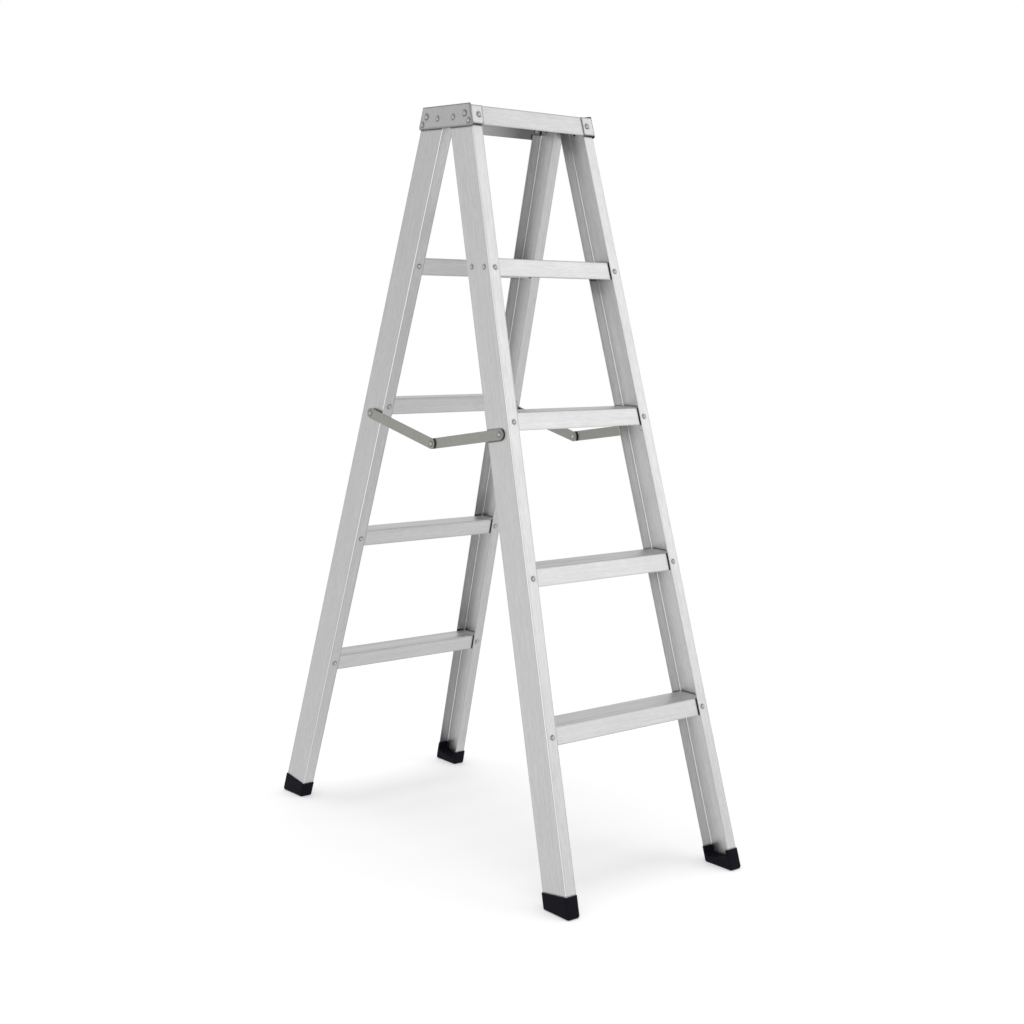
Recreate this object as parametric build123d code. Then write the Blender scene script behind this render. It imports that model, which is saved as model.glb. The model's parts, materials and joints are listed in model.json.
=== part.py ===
from build123d import *
import math
import os

# A double-sided aluminium stepladder, standing open. Millimetres and degrees.
# X runs along the treads, Y from the front frame to the rear frame, Z up from the floor.

# Stance
HEIGHT = 1430.0  # floor to the top edge of the side plates
LEAN = 16.2  # of each frame from the vertical
SPLAY = 2.85  # of each stile in the plane of its frame
HINGE_SPACING = 119.0  # between the front and rear hinge axes
HINGE_DROP = 18.0  # hinge axes below the top edge of the side plates
TOP_WIDTH = 292.0  # over the webs of two stiles, at the hinge axis

# Stiles: channels with the web outside and the flanges turned inward
STILE_WEB = 66.0
STILE_FLANGE = 24.0
STILE_WALL = 1.6
STILE_CORNER = 1.8
STILE_ROOT = 2.4
HINGE_INSET = 13.5  # hinge axis behind the outer flange's face
TONGUE_RADIUS = 11.0  # rounded top of the web, about the hinge axis
FLANGE_CUTBACK = 14.0  # outer flange's top below the hinge axis

# Treads: channels open downward, riveted between the flanges of the stiles
TREAD_COUNT = 4
TREAD_PITCH = 275.0  # between treads, and from the highest up to the deck
TREAD_FLANGE = 33.5
TREAD_WALL = 1.5
TREAD_CORNER = 1.6
TREAD_GAP = 1.5  # between a tread's flange and each stile flange
TREAD_END_GAP = 0.2  # between a tread's end and the rounding at the web's inner corners

# Top cap: a deck channel between two folded end brackets
PLATE_HEIGHT = 41.5
PLATE_WALL = 2.0
PLATE_GAP = 0.8  # between a side plate and the web, at the hinge axis
PLATE_CORNER = 4.5
CAP_GAP = 1.2  # between the deck's flange and the stile's outer flange
RETURN_WIDTH = 27.5
RETURN_HEIGHT = 33.5
BEND_RADIUS = 2.6
DECK_DROP = 3.0  # deck's top face below the top edge of the side plates
DECK_FLANGE = 34.5
DECK_WALL = 1.8
DECK_CORNER = 2.2
DECK_END_GAP = 0.3

# Stop pins, fixed in the side plates and running in arc slots of the webs
STOP_INSET = 17.5  # from the inner flange's face
STOP_RISE = 5.2  # from the hinge axis, up the open web
STOP_SHANK = 5.0
STOP_HEAD = 9.0
STOP_HEAD_HEIGHT = 2.0
STOP_CLEARANCE = 0.3

# Rivets
RIVET_FIT = 0.05  # around a fixed shank
PIVOT_FIT = 0.06  # running clearance around a pivot's shank
TAIL_RATIO = 1.35  # a tail's diameter over its shank's
TAIL_HEIGHT = 1.6
HINGE_SHANK = 6.0
HINGE_HEAD = 10.0
HINGE_HEAD_HEIGHT = 2.6
HINGE_TAIL_GAP = 0.6  # between the web and the tails of hinge rivets and stop pins
TREAD_SHANK = 4.8
TREAD_HEAD = 9.4
TREAD_HEAD_HEIGHT = 2.6
TREAD_RIVET_DROP = 16.8  # below a tread's top edge, along its flange
TREAD_RIVET_INSET = 14.0  # from the web's outer face
WEB_RIVET_INSET = 15.0  # from the face of each flange
DECK_RIVET_INSET = 18.0  # from the side plate's outer face
CORNER_RIVET_DROP = 31.5  # below the top edge of the side plates
CORNER_RIVET_INSET = 5.0  # behind the face of the outer flange

# Spreaders: two flat bars on each side, riveted together in the middle
SPREADER_LENGTH = 210.4  # between the holes of one bar
SPREADER_SAG = 39.0  # middle joint below the line between its pivots, when open
SPREADER_STEP = 13.5  # front pivots below the rear ones, along the stiles
FRONT_SPREADER_INSET = 25.0  # pivot behind the outer flange's face
REAR_SPREADER_INSET = 37.5
SPREADER_WIDTH = 20.0
SPREADER_WALL = 3.0
SPREADER_SHANK = 6.0
SPREADER_HEAD = 9.6
SPREADER_HEAD_HEIGHT = 2.4
SPACER_DIAMETER = 13.0
INNER_SPACER = 1.0  # lifts the inner bar of a side off the web
BAR_GAP = 0.8  # between the inner and outer bars
MID_TAIL_HEIGHT = 0.5

# Feet: boots over the ends of the stiles
BOOT_WALL = 2.5
BOOT_SOLE = 9.0
BOOT_HEIGHT = 40.0  # at the outer flange
BOOT_COLLAR_SLOPE = 8.5  # of the top edge, down towards the inside
BOOT_CORNER = 5.2
BOOT_SOLE_EDGE = 5.0
BOOT_FIT = 0.1
BOOT_NOTCH = 18.0  # depth of the notch between the flanges, below the collar
BOOT_NOTCH_CORNER = 6.0

lean = math.radians(LEAN)
splay = math.radians(SPLAY)
plate_tilt = math.atan(math.tan(splay) * math.cos(lean))
hinge_height = HEIGHT - HINGE_DROP
deck_top = HEIGHT - DECK_DROP
outer_face = -HINGE_INSET  # depths of a stile's flange faces, from the hinge axis inward
inner_face = STILE_WEB - HINGE_INSET
stop_reach = inner_face - STOP_INSET  # from the hinge axis, across the web
cap_face = outer_face - CAP_GAP - DECK_WALL - PLATE_WALL
outer_spacer = INNER_SPACER + SPREADER_WALL + BAR_GAP
spreader_depth = {"front": FRONT_SPREADER_INSET + outer_face, "rear": REAR_SPREADER_INSET + outer_face}
stile_length = (HEIGHT + STILE_WEB) / math.cos(lean) / math.cos(splay)
far = 2 * HEIGHT  # longer than any cutter needs to be

# A frame is drawn upright about its hinge axis, then leaned: X across, Y inward, Z up the slope.
FRONT = Pos(0, -HINGE_SPACING / 2, hinge_height) * Rot(-LEAN, 0, 0)
FRAMES = {"front": FRONT, "rear": Rot(0, 0, 180) * FRONT}
SIDES = ("left", "right")
TREADS = range(1, TREAD_COUNT + 1)  # counted from the lowest

web_out = Vector(-math.cos(splay), 0, math.sin(splay))  # out of the left web, in the frame
plate_out = Vector(-math.cos(plate_tilt), 0, math.sin(plate_tilt))  # out of the left side plate
cap_out = Vector(0, -math.cos(lean), math.sin(lean))  # out of the cap's front flanges
stile_up = Vector(math.sin(splay), 0, math.cos(splay))
stile_plane = Plane(origin=(-TOP_WIDTH / 2, 0, 0), x_dir=-web_out, z_dir=stile_up)


def web_x(height):
    """The left web's outer face at a height up the slope."""
    return -TOP_WIDTH / 2 + height * math.tan(splay)


def slope_height(depth, floor_height):
    """Height up the slope of a point of the frame, from its depth and its height above the floor."""
    return (floor_height - hinge_height + depth * math.sin(lean)) / math.cos(lean)


def cap_y(depth, floor_height):
    """Where the front frame's plane at a depth from the hinge axis stands, at a height above the floor."""
    return -HINGE_SPACING / 2 + depth / math.cos(lean) + (floor_height - hinge_height) * math.tan(lean)


def plate_x(floor_height, outward):
    """The left side plate's inner face, or a plane outside it, at a height above the floor."""
    inner = -TOP_WIDTH / 2 - PLATE_GAP + (floor_height - hinge_height) * math.tan(plate_tilt)
    return inner - outward / math.cos(plate_tilt)


def tread_top(number):
    """Height of a tread above the floor."""
    return deck_top - (TREAD_COUNT + 1 - number) * TREAD_PITCH


def twin(shape, side):
    """A shape drawn for the left, or its mirror image for the right."""
    return shape if side == "left" else mirror(shape, about=Plane.YZ)


def group(*shapes):
    """Separate solids that share one node."""
    return Compound([solid for shape in shapes for solid in shape.solids()])


def pair(shape):
    """A shape drawn for the left and its mirror image."""
    return group(*[twin(shape, side) for side in SIDES])


def placed(shape, frame, side):
    """A left-hand shape of a frame, on the named side of the standing ladder."""
    own_side = side if frame == "front" else SIDES[1 - SIDES.index(side)]
    return FRAMES[frame] * twin(shape, own_side)


def rivet(grip, shank, head, head_height, tail_height=TAIL_HEIGHT):
    """A rivet with its domed head above the XY plane and its grip and tail below."""
    tail = shank * TAIL_RATIO
    outline = Polyline(
        (0, head_height),
        (0, -grip - tail_height),
        (tail / 2, -grip - tail_height),
        (tail / 2, -grip),
        (shank / 2, -grip),
        (shank / 2, 0),
        (head / 2, 0),
    )
    dome_radius = (head**2 / 4 + head_height**2) / (2 * head_height)
    dome = RadiusArc((head / 2, 0), (0, head_height), -dome_radius)
    return revolve(Plane.XZ * make_face([outline, dome]), Axis.Z)


def at(point, direction, shape):
    """A shape drawn on the XY plane, set on a point with its Z along a direction."""
    return Plane(origin=point, z_dir=direction) * shape


def hole(point, direction, shank, fit):
    """A cutter through one wall, for a shank."""
    return at(point, direction, Cylinder(shank / 2 + fit, STILE_FLANGE))


def below(floor_height):
    """All that lies below a height above the floor, seen from a frame."""
    slab = Box(far, far, far, align=(Align.CENTER, Align.CENTER, Align.MAX))
    return FRONT.inverse() * Pos(0, 0, floor_height) * slab


# Stiles


def channel_section(fit=0.0):
    """Section of the left stile; a fit makes its walls thicker all round."""
    corner = (Align.MIN, Align.MIN)
    wall = STILE_WALL + 2 * fit
    outside = Rectangle(STILE_FLANGE + 2 * fit, STILE_WEB + 2 * fit, align=corner)
    inside = Rectangle(STILE_FLANGE + 2 * fit, STILE_WEB + 2 * fit - 2 * wall, align=corner)
    section = outside - Pos(wall, wall) * inside
    section = fillet(section.vertices().group_by(Axis.X)[1], STILE_ROOT)
    section = fillet(section.vertices().group_by(Axis.X)[0], STILE_CORNER)
    return Pos(-fit, outer_face - fit) * section


def along_stile(section, top):
    """A section of the left stile drawn out from below the floor to a place up the slope."""
    return extrude(stile_plane.offset(-stile_length) * section, amount=stile_length + top)


def spreader_drop(frame):
    """How far a pivot lies below the hinge axis, along the stile: where the open frames suit the bars."""
    front = spreader_depth["front"]
    rear = spreader_depth["rear"]
    span = 2 * math.sqrt(SPREADER_LENGTH**2 - SPREADER_SAG**2)
    rise = SPREADER_STEP * math.cos(lean) + (front - rear) * math.sin(lean)
    level_span = math.sqrt(span**2 - rise**2)
    both_drops = (level_span - HINGE_SPACING + (front + rear) * math.cos(lean)) / math.sin(lean)
    step = SPREADER_STEP if frame == "front" else -SPREADER_STEP
    return (both_drops + step) / 2


def spreader_point(frame, stand_off=0.0):
    """Centre of the spreader's pivot on the left web, or at a distance outside it."""
    height = -spreader_drop(frame)
    return Vector(web_x(height), spreader_depth[frame], height) + web_out * stand_off


def tread_rivet_points(number):
    """Points on the faces of the left stile's flanges, each with the way out of the flange."""
    points = []
    for face, way in ((outer_face, -1), (inner_face, 1)):
        height = slope_height(face, tread_top(number)) - TREAD_RIVET_DROP
        points.append(((web_x(height) + TREAD_RIVET_INSET, face, height), (0, way, 0)))
    return points


def web_rivet_points():
    """Points on the left web, level with the rivets of the highest tread."""
    points = []
    for depth in (outer_face + WEB_RIVET_INSET, inner_face - WEB_RIVET_INSET):
        height = slope_height(depth, tread_top(TREAD_COUNT)) - TREAD_RIVET_DROP
        points.append((web_x(height), depth, height))
    return points


def stile_top_waste():
    """What is cut from the top of a stile, to leave a rounded tongue that turns inside the cap."""
    above = Pos(0, 0, TONGUE_RADIUS) * Box(far, far, far, align=(Align.CENTER, Align.CENTER, Align.MIN))
    corner = Box(far, far, far, align=(Align.CENTER, Align.MAX, Align.MIN))
    knuckle = Rot(0, 90, 0) * Cylinder(TONGUE_RADIUS, far)
    flange_depth = HINGE_INSET - TONGUE_RADIUS
    flange = Box(far, flange_depth, FLANGE_CUTBACK, align=(Align.CENTER, Align.MIN, Align.MIN))
    return [above, corner - knuckle, Pos(0, outer_face, -FLANGE_CUTBACK) * flange]


def stop_slot():
    """Cutter for the slots in the webs that the stop pins run in, from closed up to open."""
    open_angle = math.degrees(math.atan2(STOP_RISE, stop_reach))
    path = CenterArc((0, 0), math.hypot(STOP_RISE, stop_reach), open_angle - LEAN, LEAN)
    return extrude(Plane.YZ * SlotArc(path, STOP_SHANK + 2 * STOP_CLEARANCE), amount=TOP_WIDTH, both=True)


def stile(frame):
    """A left stile with its holes."""
    body = along_stile(channel_section(), STILE_WEB)
    body -= stile_top_waste()
    body -= below(BOOT_SOLE)
    body -= hole((web_x(0), 0, 0), (1, 0, 0), HINGE_SHANK, PIVOT_FIT)
    body -= stop_slot()
    body -= hole(spreader_point(frame), web_out, SPREADER_SHANK, RIVET_FIT)
    for number in TREADS:
        body -= [hole(point, way, TREAD_SHANK, RIVET_FIT) for point, way in tread_rivet_points(number)]
    if frame == "front":
        body -= [hole(point, web_out, TREAD_SHANK, RIVET_FIT) for point in web_rivet_points()]
    return body


def web_rivets():
    """Rivets through both webs, beside the highest tread."""
    fastener = rivet(STILE_WALL, TREAD_SHANK, TREAD_HEAD, TREAD_HEAD_HEIGHT)
    return pair(group(*[at(point, web_out, fastener) for point in web_rivet_points()]))


# Treads


def tread(number):
    """A tread: level on top, with a flange beside each flange of the stiles."""
    front = outer_face + STILE_WALL + TREAD_GAP
    back = inner_face - STILE_WALL - TREAD_GAP

    def outline(inset, drop, flange):
        depths = (front + inset, back - inset)
        corners = [(depth, slope_height(depth, tread_top(number)) - drop) for depth in depths]
        feet = [(depth, height - flange) for depth, height in corners]
        return make_face(Polyline(feet[0], corners[0], corners[1], feet[1], close=True))

    outside = outline(0, 0, TREAD_FLANGE)
    outside = fillet([highest_at(outside, depth) for depth in (front, back)], TREAD_CORNER)
    inside = outline(TREAD_WALL, TREAD_WALL / math.cos(lean), 2 * TREAD_FLANGE)
    bar = extrude(Plane.YZ * (outside - inside), amount=TOP_WIDTH, both=True)
    for point, way in tread_rivet_points(number):
        cutter = hole(point, way, TREAD_SHANK, RIVET_FIT)
        bar -= [twin(cutter, side) for side in SIDES]
    return bar & between_webs()


def highest_at(face, depth):
    """The upper corner of an outline at a depth."""
    return [v for v in face.vertices().sort_by(Axis.Y) if abs(v.X - depth) < TREAD_WALL][-1]


def between_webs():
    """The room between the webs of a frame, less the gap at each end of a tread."""
    inset = (STILE_WALL + STILE_ROOT + TREAD_END_GAP) / math.cos(splay)
    left = [(web_x(height) + inset, height) for height in (-stile_length, 0)]
    right = [(-x, height) for x, height in reversed(left)]
    room = make_face(Polyline(*left, *right, close=True))
    return extrude(Plane.XZ * room, amount=far, both=True)


def tread_rivets(number):
    """The four rivets that hold one tread."""
    grip = STILE_WALL + TREAD_GAP + TREAD_WALL
    fastener = rivet(grip, TREAD_SHANK, TREAD_HEAD, TREAD_HEAD_HEIGHT)
    return pair(group(*[at(point, way, fastener) for point, way in tread_rivet_points(number)]))


# Feet


def above_collar(drop):
    """All that lies above a boot's collar, or above a plane below it."""
    edge = cap_y(outer_face - BOOT_WALL, BOOT_HEIGHT)
    slab = Box(far, far, far, align=(Align.CENTER, Align.CENTER, Align.MIN))
    return FRONT.inverse() * Pos(0, edge, BOOT_HEIGHT - drop) * Rot(-BOOT_COLLAR_SLOPE, 0, 0) * slab


def boot_notch():
    """Cutter for the notch that leaves the web bare between the flanges."""
    lip = STILE_WALL + BOOT_FIT + BOOT_WALL
    outline = Rectangle(2 * STILE_FLANGE, STILE_WEB - 2 * lip, align=(Align.MIN, Align.MIN))
    notch = along_stile(Pos(STILE_WALL / 2, outer_face + lip) * outline, 0) & above_collar(BOOT_NOTCH)
    floor_edges = notch.faces().sort_by(Axis.Z)[0].edges().sort_by(Axis.Y)
    return fillet([floor_edges[0], floor_edges[-1]], BOOT_NOTCH_CORNER)


def boot():
    """A boot over the foot of a left stile, with a level sole and a notch between the flanges."""
    width = STILE_FLANGE + 2 * BOOT_WALL
    depth = STILE_WEB + 2 * BOOT_WALL
    outline = RectangleRounded(width, depth, BOOT_CORNER, align=(Align.MIN, Align.MIN))
    body = along_stile(Pos(-BOOT_WALL, outer_face - BOOT_WALL) * outline, -STILE_WEB)
    body = FRONT * (body - below(0) - above_collar(0))
    sole = body.faces().sort_by(Axis.Z)[0]
    body = FRONT.inverse() * fillet(sole.edges(), BOOT_SOLE_EDGE)
    body -= along_stile(channel_section(BOOT_FIT), 0) - below(BOOT_SOLE)
    return body - boot_notch()


# Top cap


def wedge(depth, low, high, corner=0.0):
    """A prism along the treads between the cap's planes at a depth, with its lower corners rounded."""
    lower = cap_y(depth, low)
    upper = cap_y(depth, high)
    face = make_face(Polyline((lower, low), (upper, high), (-upper, high), (-lower, low), close=True))
    if corner:
        face = fillet(face.vertices().group_by(Axis.Y)[0], corner)
    return extrude(Plane.YZ * face, amount=TOP_WIDTH, both=True)


def inside_plate(shape, outward):
    """The part of a shape on the inner side of a plane parallel to the left side plate."""
    plane = Plane(origin=(plate_x(hinge_height, outward), 0, hinge_height), z_dir=plate_out)
    return split(shape, bisect_by=plane, keep=Keep.BOTTOM)


def outside_plate(shape, outward):
    """The part of a shape on the outer side of such a plane."""
    plane = Plane(origin=(plate_x(hinge_height, outward), 0, hinge_height), z_dir=plate_out)
    return split(shape, bisect_by=plane, keep=Keep.TOP)


def front_and_rear(shape):
    """A shape of the cap's front half and its mirror image in the rear half."""
    return [shape, mirror(shape, about=Plane.XZ)]


def corner_rivet_point():
    height = HEIGHT - CORNER_RIVET_DROP
    return (plate_x(height, PLATE_WALL), cap_y(outer_face + CORNER_RIVET_INSET, height), height)


def deck_rivet_point():
    height = deck_top - RETURN_HEIGHT / 2
    return (plate_x(height, PLATE_WALL - DECK_RIVET_INSET), cap_y(cap_face, height), height)


def stop_point(outward):
    """Centre of the left front stop pin, on the side plate's inner face or on a plane outside it."""
    point = (FRONT * Pos(0, stop_reach, STOP_RISE)).position
    return Vector(plate_x(point.Z, outward), point.Y, point.Z)


def top_bracket():
    """The left end bracket: a side plate with a flange folded in along each sloping edge."""
    low = HEIGHT - PLATE_HEIGHT
    body = inside_plate(wedge(cap_face, low, HEIGHT, PLATE_CORNER), PLATE_WALL)
    bends = [e for e in body.edges() if e.center().X < -TOP_WIDTH / 2 and e.length > PLATE_HEIGHT / 2]
    bends = [e for e in bends if abs(e.center().Y) > HINGE_SPACING / 2]
    body = fillet(bends, BEND_RADIUS)
    body -= inside_plate(wedge(cap_face + PLATE_WALL, low - PLATE_HEIGHT, HEIGHT + PLATE_HEIGHT), 0)
    body = outside_plate(body, PLATE_WALL - RETURN_WIDTH)
    over = wedge(cap_face - PLATE_WALL, deck_top, HEIGHT + PLATE_HEIGHT)
    under = wedge(cap_face - PLATE_WALL, low - PLATE_HEIGHT, deck_top - RETURN_HEIGHT)
    body -= [inside_plate(over, 0), inside_plate(under, 0)]
    hinge_point = (plate_x(hinge_height, 0), -HINGE_SPACING / 2, hinge_height)
    hinge = hole(hinge_point, (1, 0, 0), HINGE_SHANK, RIVET_FIT)
    corner = hole(corner_rivet_point(), plate_out, TREAD_SHANK, RIVET_FIT)
    deck = hole(deck_rivet_point(), cap_out, TREAD_SHANK, RIVET_FIT)
    stop = hole(stop_point(0), (1, 0, 0), STOP_SHANK, RIVET_FIT)
    for cutter in (hinge, corner, deck, stop):
        body -= front_and_rear(cutter)
    return body


def top_deck():
    """The deck: a channel open downward, its flanges against those of the brackets."""
    face = cap_face + PLATE_WALL
    body = wedge(face, deck_top - DECK_FLANGE, deck_top)
    long_edges = body.edges().filter_by(Axis.X).group_by(Axis.Z)[-1]
    body = fillet(long_edges, DECK_CORNER)
    body -= wedge(face + DECK_WALL, deck_top - 2 * DECK_FLANGE, deck_top - DECK_WALL)
    body = inside_plate(body, -DECK_END_GAP)
    body = mirror(inside_plate(mirror(body, about=Plane.YZ), -DECK_END_GAP), about=Plane.YZ)
    for cutter in front_and_rear(hole(deck_rivet_point(), cap_out, TREAD_SHANK, RIVET_FIT)):
        body -= [twin(cutter, side) for side in SIDES]
    return body


def hinge_rivets():
    """Rivets of the left side plate that the front and rear stiles turn on."""
    lift = HINGE_HEAD / 2 * math.tan(plate_tilt)
    head_x = plate_x(hinge_height, PLATE_WALL) - lift
    grip = web_x(0) + STILE_WALL / math.cos(splay) + HINGE_TAIL_GAP - head_x
    pin = rivet(grip, HINGE_SHANK, HINGE_HEAD, HINGE_HEAD_HEIGHT)
    return group(*front_and_rear(at((head_x, -HINGE_SPACING / 2, hinge_height), (-1, 0, 0), pin)))


def stop_pins():
    """Front stop pins of both side plates, which reach in through the slots of the webs."""
    head = stop_point(PLATE_WALL) - Vector(STOP_HEAD / 2 * math.tan(plate_tilt), 0, 0)
    grip = web_x(STOP_RISE) + STILE_WALL / math.cos(splay) + HINGE_TAIL_GAP - head.X
    return pair(at(head, (-1, 0, 0), rivet(grip, STOP_SHANK, STOP_HEAD, STOP_HEAD_HEIGHT)))


def corner_rivets():
    """Rivets near the lower corners of the left side plate, flush on its inner face."""
    outline = rivet(PLATE_WALL, TREAD_SHANK, TREAD_HEAD, TREAD_HEAD_HEIGHT)
    flush = split(outline, bisect_by=Plane.XY.offset(-PLATE_WALL), keep=Keep.TOP)
    return group(*front_and_rear(at(corner_rivet_point(), plate_out, flush)))


def deck_rivets():
    """Rivets through the left bracket's flanges and those of the deck."""
    fastener = rivet(PLATE_WALL + DECK_WALL, TREAD_SHANK, TREAD_HEAD, TREAD_HEAD_HEIGHT)
    return group(*front_and_rear(at(deck_rivet_point(), cap_out, fastener)))


# Spreaders


def pivot_place(frame, tilt):
    """A bar's pivot seen along the treads, with both frames at an angle from the vertical."""
    depth = spreader_depth[frame]
    drop = spreader_drop(frame)
    inward = depth * math.cos(tilt) - drop * math.sin(tilt) - HINGE_SPACING / 2
    height = hinge_height - drop * math.cos(tilt) - depth * math.sin(tilt)
    return Vector(inward if frame == "front" else -inward, height)


def middle_joint(tilt):
    """Where the two bars of a side meet, below their pivots, seen along the treads."""
    front = pivot_place("front", tilt)
    rear = pivot_place("rear", tilt)
    span = rear - front
    sag = math.sqrt(SPREADER_LENGTH**2 - span.length**2 / 4)
    return (front + rear) * 0.5 + span.normalized().rotate(Axis.Z, -90) * sag


def bar_angle(frame, tilt):
    """Angle of a bar in the plane of its web, from straight inward."""
    run = middle_joint(tilt) - pivot_place(frame, tilt)
    inward = run.X if frame == "front" else -run.X
    along = inward * math.cos(tilt) - run.Y * math.sin(tilt)
    up = inward * math.sin(tilt) + run.Y * math.cos(tilt)
    return math.atan2(up / math.cos(splay), along)


def is_outer(frame, side):
    """Whether a bar is the outer one of its side: the rear bar on the left, the front bar on the right."""
    return (frame == "rear") == (side == "left")


def bar_plane(frame, stand_off):
    """Plane of a left bar: its origin on the pivot, X towards the middle joint, Z out of the web."""
    angle = bar_angle(frame, lean)
    along = Vector(0, math.cos(angle), 0) + stile_up * math.sin(angle)
    return Plane(origin=spreader_point(frame, stand_off), x_dir=along, z_dir=web_out)


def spreader_bar(frame, stand_off):
    """A flat bar with round ends and a hole at each end."""
    outline = Pos(SPREADER_LENGTH / 2, 0) * SlotCenterToCenter(SPREADER_LENGTH, SPREADER_WIDTH)
    pivot = Circle(SPREADER_SHANK / 2 + PIVOT_FIT)
    middle = Pos(SPREADER_LENGTH, 0) * Circle(SPREADER_SHANK / 2 + RIVET_FIT)
    return extrude(bar_plane(frame, stand_off) * (outline - pivot - middle), amount=SPREADER_WALL)


def spreader_spacer(frame, stand_off):
    """Ring between a web and a bar."""
    ring = Circle(SPACER_DIAMETER / 2) - Circle(SPREADER_SHANK / 2 + RIVET_FIT)
    return extrude(bar_plane(frame, 0) * ring, amount=stand_off - RIVET_FIT)


def spreader_pivot(frame, stand_off):
    """Rivet in the web that a bar turns on."""
    grip = STILE_WALL + stand_off + SPREADER_WALL + RIVET_FIT
    fastener = rivet(grip, SPREADER_SHANK, SPREADER_HEAD, SPREADER_HEAD_HEIGHT)
    return bar_plane(frame, stand_off + SPREADER_WALL + RIVET_FIT) * fastener


def mid_rivet_head():
    """Outer half of the middle joint's rivet, flush with the back of the outer bar."""
    whole = rivet(SPREADER_WALL, SPREADER_SHANK, SPREADER_HEAD, SPREADER_HEAD_HEIGHT)
    return split(whole, bisect_by=Plane.XY.offset(-SPREADER_WALL), keep=Keep.TOP)


def mid_rivet_tail():
    """Inner half of the middle joint's rivet, flush with the face of the inner bar."""
    whole = rivet(SPREADER_WALL, SPREADER_SHANK, SPREADER_HEAD, SPREADER_HEAD_HEIGHT, MID_TAIL_HEIGHT)
    return split(whole, bisect_by=Plane.XY, keep=Keep.BOTTOM)


def mid_rivet(frame, stand_off, outer):
    """Half of the middle joint's rivet, in the far end of a bar."""
    half = mid_rivet_head() if outer else mid_rivet_tail()
    return bar_plane(frame, stand_off + SPREADER_WALL) * Pos(SPREADER_LENGTH, 0) * half


# Assembly


def cap_nodes():
    nodes = {"top_deck": top_deck()}
    for side in SIDES:
        nodes[f"{side}_top_bracket"] = twin(top_bracket(), side)
        nodes[f"{side}_hinge_rivets"] = twin(hinge_rivets(), side)
        nodes[f"{side}_corner_rivets"] = twin(corner_rivets(), side)
        nodes[f"{side}_deck_rivets"] = twin(deck_rivets(), side)
    for frame, shape in zip(FRAMES, front_and_rear(stop_pins())):
        nodes[f"{frame}_stop_pins"] = shape
    return nodes


def frame_nodes(frame):
    nodes = {}
    stile_body = stile(frame)
    boot_body = boot()
    for side in SIDES:
        nodes[f"{frame}_{side}_stile"] = placed(stile_body, frame, side)
        nodes[f"{frame}_{side}_foot"] = placed(boot_body, frame, side)
    for number in TREADS:
        nodes[f"{frame}_tread_{number}"] = FRAMES[frame] * tread(number)
        nodes[f"{frame}_tread_{number}_rivets"] = FRAMES[frame] * tread_rivets(number)
    if frame == "front":
        nodes["front_web_rivets"] = FRONT * web_rivets()
    return nodes


def spreader_nodes(frame):
    nodes = {}
    for side in SIDES:
        outer = is_outer(frame, side)
        stand_off = outer_spacer if outer else INNER_SPACER
        shapes = {
            "spreader_bar": spreader_bar(frame, stand_off),
            "mid_rivet": mid_rivet(frame, stand_off, outer),
            "spreader_pivot": spreader_pivot(frame, stand_off),
            "spreader_spacer": spreader_spacer(frame, stand_off),
        }
        for name, shape in shapes.items():
            nodes[f"{frame}_{side}_{name}"] = placed(shape, frame, side)
    return nodes


def main():
    os.makedirs("parts", exist_ok=True)
    nodes = cap_nodes()
    for frame in FRAMES:
        nodes |= frame_nodes(frame)
        nodes |= spreader_nodes(frame)
    for name, shape in nodes.items():
        export_step(group(shape), f"parts/{name}.step")


main()
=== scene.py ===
import json
import math

import bpy
from mathutils import Matrix, Vector


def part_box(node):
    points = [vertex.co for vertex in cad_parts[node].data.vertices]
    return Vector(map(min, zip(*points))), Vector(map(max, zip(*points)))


# A double-sided aluminium stepladder in a white studio. Metres and degrees, in the model's own frame.

# Camera, at the photograph's viewing angle
CAMERA_PLACE = (-1.9994, -2.5332, 1.0962)
CAMERA_YAW = 41.661  # from +Y towards +X
CAMERA_PITCH = -10.357
CAMERA_ROLL = 1.444
SENSOR_WIDTH = 36.0  # millimetres
LENS = 57.034  # millimetres
SHIFT_RIGHT = -0.0816  # of the picture's width
SHIFT_UP = 0.0745

# Studio. A glow of 1 is white.
FLOOR_SIZE = 60.0
FLOOR_COLOR = (0.80, 0.80, 0.80)
FLOOR_GLOW = 0.37  # what the floor shows the camera on top of its lit colour
GLOW_START = 1.6  # from here on the floor fades to plain white
GLOW_END = 3.2
AMBIENT = 0.60  # light from all round
MIRRORED_FLOOR = 0.82  # what metal sees of the floor
MIRRORED_FRONT = 1.00  # and of the floor in front on the left, which glows brighter there: painted light for metal to mirror
FRONT_DIRECTION = (-0.72, -0.69, 0.0)
FRONT_START = 0.5
FRONT_END = 1.3
HORIZON_GLOW = 0.76  # what metal sees of the white behind the floor
SKY_GLOW = 0.70  # and overhead
SKY_START = 0.02  # sine of the elevation where the fade starts
SKY_END = 0.30

# Softboxes, in watts. Metal doesn't mirror the overhead one.
LAMPS = {
    "key": dict(place=(3.3, -4.0, 2.9), target=(0.0, -0.2, 0.8), width=3.4, height=3.6, power=27.0),
    "fill": dict(place=(-2.6, -2.9, 1.9), target=(0.0, 0.0, 0.8), width=2.4, height=2.4, power=10.0),
    "overhead": dict(
        place=(0.0, 0.0, 7.0), target=(0.0, 0.0, 0.0), width=3.0, height=3.0, power=110.0, mirrored=False
    ),
}

# the rear stiles take a darker copy of the front stiles' colour: painted shade
STILE_COLORS = {"front": (0.770, 0.770, 0.775), "rear": (0.705, 0.705, 0.710)}
TREAD_COLOR = (0.750, 0.750, 0.755)
DECK_COLOR = (0.720, 0.720, 0.725)
BRACKET_COLOR = (0.630, 0.630, 0.630)
RIVET_COLOR = (0.560, 0.560, 0.560)
SPREADER_COLOR = (0.450, 0.450, 0.418)
RUBBER_COLOR = (0.0085, 0.0082, 0.0130)
WHITE = (1.0, 1.0, 1.0)

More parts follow.
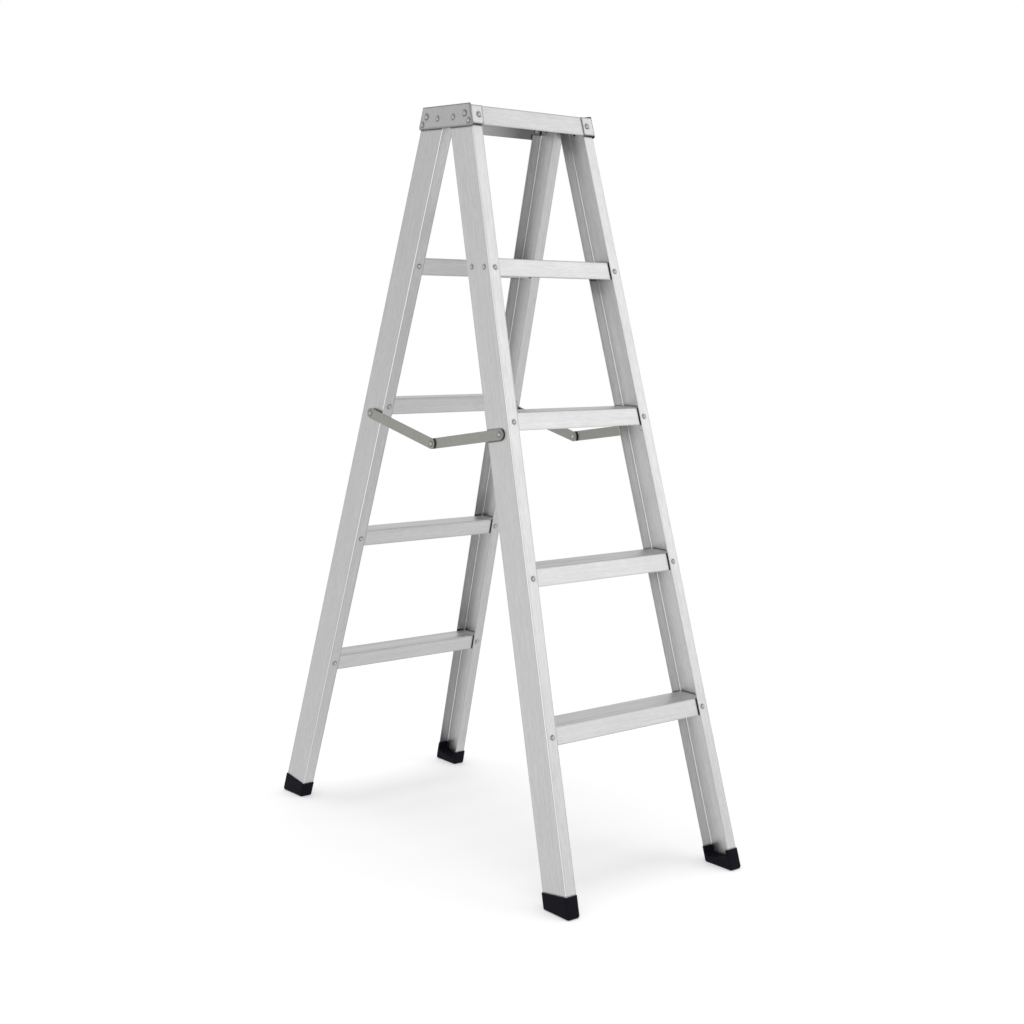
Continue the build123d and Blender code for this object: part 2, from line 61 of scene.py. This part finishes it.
# Sockets of a Mix node: share, first and second value, result
MIX_NUMBERS = (0, 2, 3, 0)
MIX_COLORS = (0, 6, 7, 2)

# Where a surface counts as an edge, as flat, or as a bend
EDGE_LIKENESS = (0.95, 0.999)  # of the rounded normal to the plain one
FLAT_OPENNESS = (0.98, 1.0)  # share of its view that the sheet itself leaves open
BEND_FACING = (0.10, 0.40)  # how far it faces both ways
EDGE_SAMPLES = 4
CREVICE_SAMPLES = 8
FLAT_SAMPLES = 16

# Distances from a flange's cut end: no painted shade to the first, full painted shade from the second
UNSHADED_END = 0.004
SHADED_START = 0.007

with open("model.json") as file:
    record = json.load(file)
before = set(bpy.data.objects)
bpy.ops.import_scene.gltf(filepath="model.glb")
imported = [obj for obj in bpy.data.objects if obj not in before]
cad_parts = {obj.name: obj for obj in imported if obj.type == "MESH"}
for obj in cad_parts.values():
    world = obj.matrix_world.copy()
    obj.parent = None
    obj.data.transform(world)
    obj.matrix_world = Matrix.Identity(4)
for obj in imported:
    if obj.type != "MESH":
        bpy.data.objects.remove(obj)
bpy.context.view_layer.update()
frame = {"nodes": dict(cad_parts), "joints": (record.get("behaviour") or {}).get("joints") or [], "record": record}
joints = {joint["name"]: joint for joint in frame["joints"]}
ACROSS = Vector((1, 0, 0))
UP = Vector((0, 0, 1))


def opaque(color):
    return (*color, 1.0)


def shade(color, factor):
    return opaque([channel * factor for channel in color])


class Shader:
    """A node tree, with short ways to add nodes and links."""

    def __init__(self, owner):
        owner.use_nodes = True
        self.tree = owner.node_tree

    def add(self, kind, inputs=None, **settings):
        """A node with its settings; an input is a value, or another node's output."""
        node = self.tree.nodes.new("ShaderNode" + kind)
        for name, value in settings.items():
            setattr(node, name, value)
        for name, value in (inputs or {}).items():
            self.feed(node.inputs[name], value)
        return node

    def feed(self, socket, value):
        if isinstance(value, bpy.types.NodeSocket):
            self.tree.links.new(value, socket)
        else:
            socket.default_value = value

    def fed(self, kind, values, **settings):
        """A node whose inputs take the values in their order."""
        node = self.add(kind, **settings)
        for socket, value in zip(node.inputs, values):
            self.feed(socket, value)
        return node

    def math(self, operation, *values):
        return self.fed("Math", values, operation=operation).outputs[0]

    def times(self, first, second):
        return self.math("MULTIPLY", first, second)

    def vector(self, operation, *values):
        return self.fed("VectorMath", values, operation=operation)

    def dot(self, first, second):
        return self.vector("DOT_PRODUCT", first, second).outputs["Value"]

    def noise(self, place, scale, detail=2.0, roughness=0.5):
        inputs = {"Vector": place, "Scale": scale, "Detail": detail, "Roughness": roughness}
        return self.add("TexNoise", inputs).outputs["Fac"]

    def ranged(self, value, first, last, start=0.3, end=0.7):
        """First where a value is start or less, last where it is end or more, even steps between."""
        inputs = {"Value": value, "From Min": start, "From Max": end, "To Min": first, "To Max": last}
        return self.add("MapRange", inputs).outputs["Result"]

    def mix(self, sockets, values, **settings):
        node = self.add("Mix", **settings)
        *inputs, result = sockets
        for index, value in zip(inputs, values):
            self.feed(node.inputs[index], value)
        return node.outputs[result]

    def blended(self, share, first, second):
        """Two numbers mixed."""
        return self.mix(MIX_NUMBERS, (share, first, second), data_type="FLOAT")

    def mixed(self, share, first, second, blend="MIX"):
        """Two colours mixed."""
        return self.mix(MIX_COLORS, (share, first, second), data_type="RGBA", blend_type=blend)

    def mixed_shaders(self, share, first, second):
        return self.fed("MixShader", (share, first, second)).outputs[0]

    def emission(self, strength):
        """White light."""
        return self.add("Emission", {"Color": opaque(WHITE), "Strength": strength}).outputs[0]


class Finish(Shader):
    """A surface of the ladder in one colour, made in its object's own coordinates."""

    def __init__(self, name, color):
        self.material = bpy.data.materials.new(name)
        super().__init__(self.material)
        self.color = color
        self.surface = self.tree.nodes["Principled BSDF"]
        self.place = self.add("TexCoord").outputs["Object"]

    def set(self, **values):
        for name, value in values.items():
            socket = name.replace("_", " ").title().replace("Ior", "IOR")
            self.feed(self.surface.inputs[socket], value)

    def bump(self, height, strength, distance):
        inputs = {"Height": height, "Strength": strength, "Distance": distance}
        self.set(normal=self.add("Bump", inputs).outputs[0])

    def varied(self, noise, dark, pale):
        """The colour, between two shades of it."""
        return self.mixed(self.ranged(noise, 0.0, 1.0), shade(self.color, dark), shade(self.color, pale))

    def tinted(self, tone, share, factor):
        """A tone with a share of a darker or paler shade of the colour."""
        return self.mixed(share, tone, shade(self.color, factor))

    def patches(self, noise, most, start=0.3, end=0.7):
        """A share up to the most given, in patches."""
        return self.ranged(noise, 0.0, most, start, end)

    def grain(self, direction, stretch, scale, detail=2.0, roughness=0.5):
        """Noise drawn out along a direction."""
        squeeze = direction * (1 - 1 / stretch)
        inputs = {"Vector": squeeze, "Scale": self.dot(self.place, direction)}
        offset = self.add("VectorMath", inputs, operation="SCALE").outputs[0]
        return self.noise(self.vector("SUBTRACT", self.place, offset).outputs[0], scale, detail, roughness)

    def edges(self, radius):
        """1 on the sharp edges of the metal, 0 away from them."""
        rounded = self.add("Bevel", {"Radius": radius}, samples=EDGE_SAMPLES).outputs[0]
        plain = self.add("NewGeometry").outputs["Normal"]
        return self.ranged(self.dot(rounded, plain), 1.0, 0.0, *EDGE_LIKENESS)

    def openness(self, reach, **settings):
        """1 in the open, less where something stands within reach."""
        return self.add("AmbientOcclusion", {"Distance": reach}, **settings).outputs["AO"]

    def crevices(self, reach, deep=0.35, shallow=0.85):
        """1 deep inside corners and seams, 0 in the open."""
        return self.ranged(self.openness(reach, samples=CREVICE_SAMPLES), 1.0, 0.0, deep, shallow)

    def rings(self, reach, deep=0.78, shallow=0.97):
        """1 close round a rivet or another piece that stands on the sheet, 0 elsewhere."""
        own = self.openness(reach, samples=FLAT_SAMPLES, only_local=True)
        flat = self.ranged(own, 0.0, 1.0, *FLAT_OPENNESS)
        return self.times(flat, self.crevices(reach, deep, shallow))

    def facing(self, direction):
        """1 where the surface is square to a direction, 0 where it runs along it."""
        return self.math("ABSOLUTE", self.dot(self.add("TexCoord").outputs["Normal"], direction))

    def bends(self, first, second):
        """1 on the bend between two faces, whose normals are given, 0 on the faces."""
        return self.ranged(self.times(self.facing(first), self.facing(second)), 0.0, 1.0, *BEND_FACING)


def brushed_aluminium(name, color, direction, seam, seam_painted_shade, faces=None, top=None, ringed=True):
    """Satin aluminium, brushed along a direction, with faint streaks and smudges, and painted shade in its seams.

    The bends between the given faces get a painted highlight and a smoother finish, shoes have scuffed the given
    top, and a ringed sheet gets painted contact shade round what stands on it.
    """
    finish = Finish(name, color)
    fine = finish.grain(direction, stretch=90.0, scale=1500.0, detail=3.0, roughness=0.6)
    streak = finish.grain(direction, stretch=120.0, scale=230.0, detail=3.0, roughness=0.55)
    scratch = finish.grain(direction, stretch=28.0, scale=340.0, roughness=0.6)
    stroke = finish.grain(direction, stretch=8.0, scale=470.0, roughness=0.6)
    band = finish.grain(direction, stretch=60.0, scale=85.0)
    smudge = finish.noise(finish.place, scale=14.0, detail=3.0)

    tone = finish.varied(streak, dark=0.94, pale=1.06)
    tone = finish.tinted(tone, finish.patches(scratch, most=0.8, start=0.45, end=0.75), factor=0.84)
    tone = finish.tinted(tone, finish.patches(band, most=0.5), factor=0.90)
    tone = finish.tinted(tone, finish.patches(fine, most=0.35), factor=0.90)
    tone = finish.tinted(tone, finish.patches(smudge, most=0.25), factor=0.94)
    strokes = finish.mixed(finish.ranged(stroke, 0.0, 1.0), shade(WHITE, 0.94), shade(WHITE, 1.07))
    tone = finish.mixed(1.0, tone, strokes, blend="MULTIPLY")
    if top:
        scuff = finish.grain(direction, stretch=30.0, scale=75.0, detail=4.0, roughness=0.7)
        trodden = finish.times(finish.facing(top), 0.8)
        tone = finish.mixed(trodden, tone, finish.varied(scuff, dark=0.80, pale=1.20))
    # sharp edges painted darker: partly the duller cut edge, partly painted shade in the gaps along them
    tone = finish.tinted(tone, finish.times(finish.edges(radius=0.0040), 0.6), factor=0.45)

    uneven = finish.math("ADD", finish.times(streak, 0.6), finish.times(smudge, 0.4))
    roughness = finish.ranged(uneven, 0.36, 0.46)
    if faces:
        # painted highlight: the bends painted paler, less so in inside corners; they are also smoother
        hollow = finish.crevices(reach=0.006, deep=0.55, shallow=0.90)
        reached = finish.ranged(hollow, 1.0, 0.28, start=0.0, end=1.0)
        bend_highlight = finish.times(finish.bends(*faces), reached)
        tone = finish.tinted(tone, bend_highlight, factor=1.25)
        roughness = finish.blended(bend_highlight, roughness, 0.25)
    # painted shade: darker in seams and inside corners, and deep under the deck, where the reach is long
    tone = finish.tinted(tone, finish.crevices(seam), seam_painted_shade)
    if ringed:
        # painted contact shade round rivets and other pieces that stand on the sheet
        tone = finish.tinted(tone, finish.rings(reach=0.004), factor=0.30)
    finish.set(base_color=tone, metallic=1.0, roughness=roughness)
    finish.bump(fine, strength=0.12, distance=0.0002)
    return finish.material


def mill_aluminium(name, color, tip):
    """Sheet as it left the mill: mottled, its sharp edges painted darker, partly the duller cut and partly painted
    shade in the gaps, and its flanges painted paler than its side plates as painted light.

    The flanges end at the given distance from the ladder's middle, in clean cuts with no painted shade in the
    seam.
    """
    finish = Finish(name, color)
    blotch = finish.noise(finish.place, scale=240.0, detail=4.0, roughness=0.70)
    cloud = finish.noise(finish.place, scale=40.0)
    sideways = finish.math("ABSOLUTE", finish.dot(finish.place, ACROSS))
    painted_shade_part = finish.ranged(sideways, 0.0, 1.0, start=tip + UNSHADED_END, end=tip + SHADED_START)
    flange = finish.ranged(finish.facing(ACROSS), 1.0, 0.0, start=0.3, end=0.8)
    rings = finish.rings(reach=0.005, deep=0.86, shallow=0.98)

    tone = finish.varied(blotch, dark=0.84, pale=1.10)
    tone = finish.tinted(tone, finish.patches(cloud, most=0.4), factor=0.92)
    # painted light: faces that don't face sideways, such as the flanges, are painted paler than the side plates
    tone = finish.tinted(tone, flange, factor=1.22)
    # sharp edges painted darker: partly the duller cut edge, partly painted shade in the gaps along them
    tone = finish.tinted(tone, finish.times(finish.edges(radius=0.0045), 0.9), factor=0.24)
    # painted shade in the seams, and painted contact shade round the rivets, both kept off the flanges' cut ends
    tone = finish.tinted(tone, finish.times(finish.crevices(reach=0.05), painted_shade_part), factor=0.40)
    tone = finish.tinted(tone, finish.times(rings, painted_shade_part), factor=0.12)
    finish.set(base_color=tone, metallic=1.0, roughness=finish.ranged(blotch, 0.42, 0.52))
    finish.bump(blotch, strength=0.10, distance=0.0004)
    return finish.material


def turned_aluminium(name, color):
    """Rivets: a bright crown, a little dulled by the setting tool, and painted shade on the rim where it meets the
    sheet.
    """
    finish = Finish(name, color)
    dull = finish.noise(finish.place, scale=700.0, detail=3.0)
    tone = finish.varied(dull, dark=0.90, pale=1.04)
    # painted shade on the rivet's rim, where it meets the sheet
    tone = finish.tinted(tone, finish.crevices(reach=0.006, deep=0.84, shallow=0.98), factor=0.12)
    finish.set(base_color=tone, metallic=1.0, roughness=finish.ranged(dull, 0.12, 0.22))
    finish.bump(dull, strength=0.08, distance=0.0002)
    return finish.material


def zinc_plated_steel(name, color, direction, flat):
    """Dull plating, with cloudy spangle and faint rolling marks along the bar.

    Painted contact shade lies round the rivets on the flats, whose normal is given.
    """
    finish = Finish(name, color)
    cloud = finish.noise(finish.place, scale=90.0, detail=3.0, roughness=0.6)
    rolled = finish.grain(direction, stretch=30.0, scale=420.0)
    on_flats = finish.ranged(finish.facing(flat), 0.0, 1.0, start=0.5, end=0.9)
    ring_shade = finish.times(finish.rings(reach=0.005, deep=0.86, shallow=0.98), on_flats)

    tone = finish.varied(cloud, dark=0.88, pale=1.05)
    tone = finish.tinted(tone, finish.patches(rolled, most=0.3), factor=0.85)
    # sharp edges painted darker: partly the duller cut edge, partly painted shade in the gaps along them
    tone = finish.tinted(tone, finish.times(finish.edges(radius=0.0006), 0.5), factor=0.55)
    # painted shade where the bar stands close to the stile, and painted contact shade round the rivets
    tone = finish.tinted(tone, finish.crevices(reach=0.03), factor=0.75)
    tone = finish.tinted(tone, ring_shade, factor=0.20)
    finish.set(base_color=tone, metallic=1.0, roughness=finish.ranged(cloud, 0.40, 0.52))
    finish.bump(rolled, strength=0.10, distance=0.0002)
    return finish.material


def moulded_rubber(name, color):
    """Black rubber with a fine moulded grain, scuffed paler along its edges."""
    finish = Finish(name, color)
    grain = finish.noise(finish.place, scale=1400.0)
    scuff = finish.noise(finish.place, scale=60.0, detail=4.0, roughness=0.6)
    worn = finish.times(finish.edges(radius=0.0012), finish.ranged(scuff, 0.1, 0.6))

    tone = finish.tinted(opaque(color), finish.patches(scuff, most=0.5), factor=1.8)
    tone = finish.tinted(tone, worn, factor=2.6)
    finish.set(base_color=tone, roughness=finish.ranged(scuff, 0.50, 0.66), specular_ior_level=0.05)
    finish.bump(grain, strength=0.25, distance=0.0003)
    return finish.material


def middle(node):
    """Centre of a node's box."""
    low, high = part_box(node)
    return (low + high) / 2


def stile_faces(corner):
    """The normals of a stile's web, along its spreader's pivot, and of its flanges."""
    frame_name = corner.split("_")[0]
    pivot = Vector(joints[f"{corner}_spreader_fold"]["axis"])
    lean = math.radians(joints[f"{frame_name}_fold"]["range_deg"][1])
    outward = -1 if frame_name == "front" else 1
    return pivot, Vector((0, outward * math.cos(lean), math.sin(lean)))


def stile_material(corner):
    web, flange = stile_faces(corner)
    along = web.cross(flange).normalized()
    color = STILE_COLORS[corner.split("_")[0]]
    name = f"{corner}_stile_aluminium"
    return brushed_aluminium(name, color, along, seam=0.010, seam_painted_shade=0.80, faces=(web, flange))


def spreader_material(corner, node):
    along = middle(f"{corner}_mid_rivet") - middle(f"{corner}_spreader_pivot")
    return zinc_plated_steel(f"{node}_zinc", SPREADER_COLOR, along.normalized(), stile_faces(corner)[0])


def dress_ladder():
    """A material for every CAD node, by its slot in the record."""
    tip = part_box("right_top_bracket")[0].x
    shared = {
        "bracket": mill_aluminium("bracket_sheet", BRACKET_COLOR, tip),
        "rivet": turned_aluminium("rivet_aluminium", RIVET_COLOR),
        "boot": moulded_rubber("boot_rubber", RUBBER_COLOR),
        "tread": brushed_aluminium(
            "tread_aluminium", TREAD_COLOR, ACROSS, seam=0.010, seam_painted_shade=0.70, top=UP
        ),
        "deck": brushed_aluminium(
            "deck_aluminium", DECK_COLOR, ACROSS, seam=0.150, seam_painted_shade=0.52, ringed=False
        ),
    }
    for part in frame["record"]["subparts"]:
        node, slot_name = part["node"], part["material_slot"]
        corner = "_".join(node.split("_")[:2])
        if slot_name == "stile":
            material = stile_material(corner)
        elif slot_name == "spreader":
            material = spreader_material(corner, node)
        else:
            material = shared[slot_name]
        for slot in frame["nodes"][node].material_slots:
            slot.material = material


def seen_through(shader):
    """1 for rays that go straight to the background, and 1 for those that metal mirrors."""
    path = shader.add("LightPath")
    shown = shader.math("MAXIMUM", path.outputs["Is Camera Ray"], path.outputs["Is Transmission Ray"])
    return shown, path.outputs["Is Glossy Ray"]


def add_floor():
    """A pale floor that keeps the shadow, and fades to plain white away from the ladder."""
    half = FLOOR_SIZE / 2
    corners = [(-half, -half, 0), (half, -half, 0), (half, half, 0), (-half, half, 0)]
    mesh = bpy.data.meshes.new("studio_floor")
    mesh.from_pydata(corners, [], [(0, 1, 2, 3)])
    floor = bpy.data.objects.new("studio_floor", mesh)
    bpy.context.scene.collection.objects.link(floor)
    material = bpy.data.materials.new("studio_floor")
    mesh.materials.append(material)

    shader = Shader(material)
    shader.tree.nodes.remove(shader.tree.nodes["Principled BSDF"])
    place = shader.add("TexCoord").outputs["Object"]
    lit = shader.add("BsdfDiffuse", {"Color": opaque(FLOOR_COLOR)}).outputs[0]
    near = shader.fed("AddShader", (lit, shader.emission(FLOOR_GLOW))).outputs[0]
    distance = shader.vector("LENGTH", place).outputs["Value"]
    far_share = shader.ranged(distance, 0.0, 1.0, GLOW_START, GLOW_END)
    seen = shader.mixed_shaders(far_share, near, shader.emission(1.0))
    frontward = shader.dot(place, FRONT_DIRECTION)
    mirrored = shader.emission(
        shader.ranged(frontward, MIRRORED_FLOOR, MIRRORED_FRONT, FRONT_START, FRONT_END)
    )
    shown, glossy = seen_through(shader)
    plain = shader.mixed_shaders(shown, lit, seen)
    result = shader.mixed_shaders(glossy, plain, mirrored)
    shader.feed(shader.tree.nodes["Material Output"].inputs["Surface"], result)


def add_world():
    """White behind the ladder; metal sees it fade towards a greyer ceiling."""
    world = bpy.data.worlds.new("studio")
    bpy.context.scene.world = world
    shader = Shader(world)
    direction = shader.add("TexCoord").outputs["Generated"]
    upward = shader.add("SeparateXYZ", {"Vector": direction}).outputs["Z"]
    mirrored = shader.ranged(upward, HORIZON_GLOW, SKY_GLOW, SKY_START, SKY_END)
    shown, glossy = seen_through(shader)
    background = shader.tree.nodes["Background"].inputs
    plain = shader.blended(shown, AMBIENT, 1.0)
    shader.feed(background["Strength"], shader.blended(glossy, plain, mirrored))
    shader.feed(background["Color"], opaque(WHITE))


def add_softbox(name, place, target, width, height, power, mirrored=True):
    lamp = bpy.data.lights.new(name, "AREA")
    lamp.shape = "RECTANGLE"
    lamp.size = width
    lamp.size_y = height
    lamp.energy = power
    holder = bpy.data.objects.new(name, lamp)
    holder.location = place
    holder.rotation_euler = (Vector(target) - Vector(place)).to_track_quat("-Z", "Y").to_euler()
    holder.visible_camera = False
    holder.visible_glossy = mirrored
    bpy.context.scene.collection.objects.link(holder)


def add_camera():
    lens = bpy.data.cameras.new("camera")
    lens.sensor_width = SENSOR_WIDTH
    lens.lens = LENS
    lens.shift_x = SHIFT_RIGHT
    lens.shift_y = SHIFT_UP
    camera = bpy.data.objects.new("camera", lens)
    turn = Matrix.Rotation(math.radians(-CAMERA_YAW), 4, "Z")
    tilt = Matrix.Rotation(math.radians(90 + CAMERA_PITCH), 4, "X")
    roll = Matrix.Rotation(math.radians(CAMERA_ROLL), 4, "Z")
    camera.matrix_world = Matrix.Translation(CAMERA_PLACE) @ turn @ tilt @ roll
    bpy.context.scene.collection.objects.link(camera)
    bpy.context.scene.camera = camera


dress_ladder()
add_floor()
add_world()
for lamp_name, setting in LAMPS.items():
    add_softbox(lamp_name, **setting)
add_camera()
bpy.context.scene.view_settings.view_transform = "Standard"
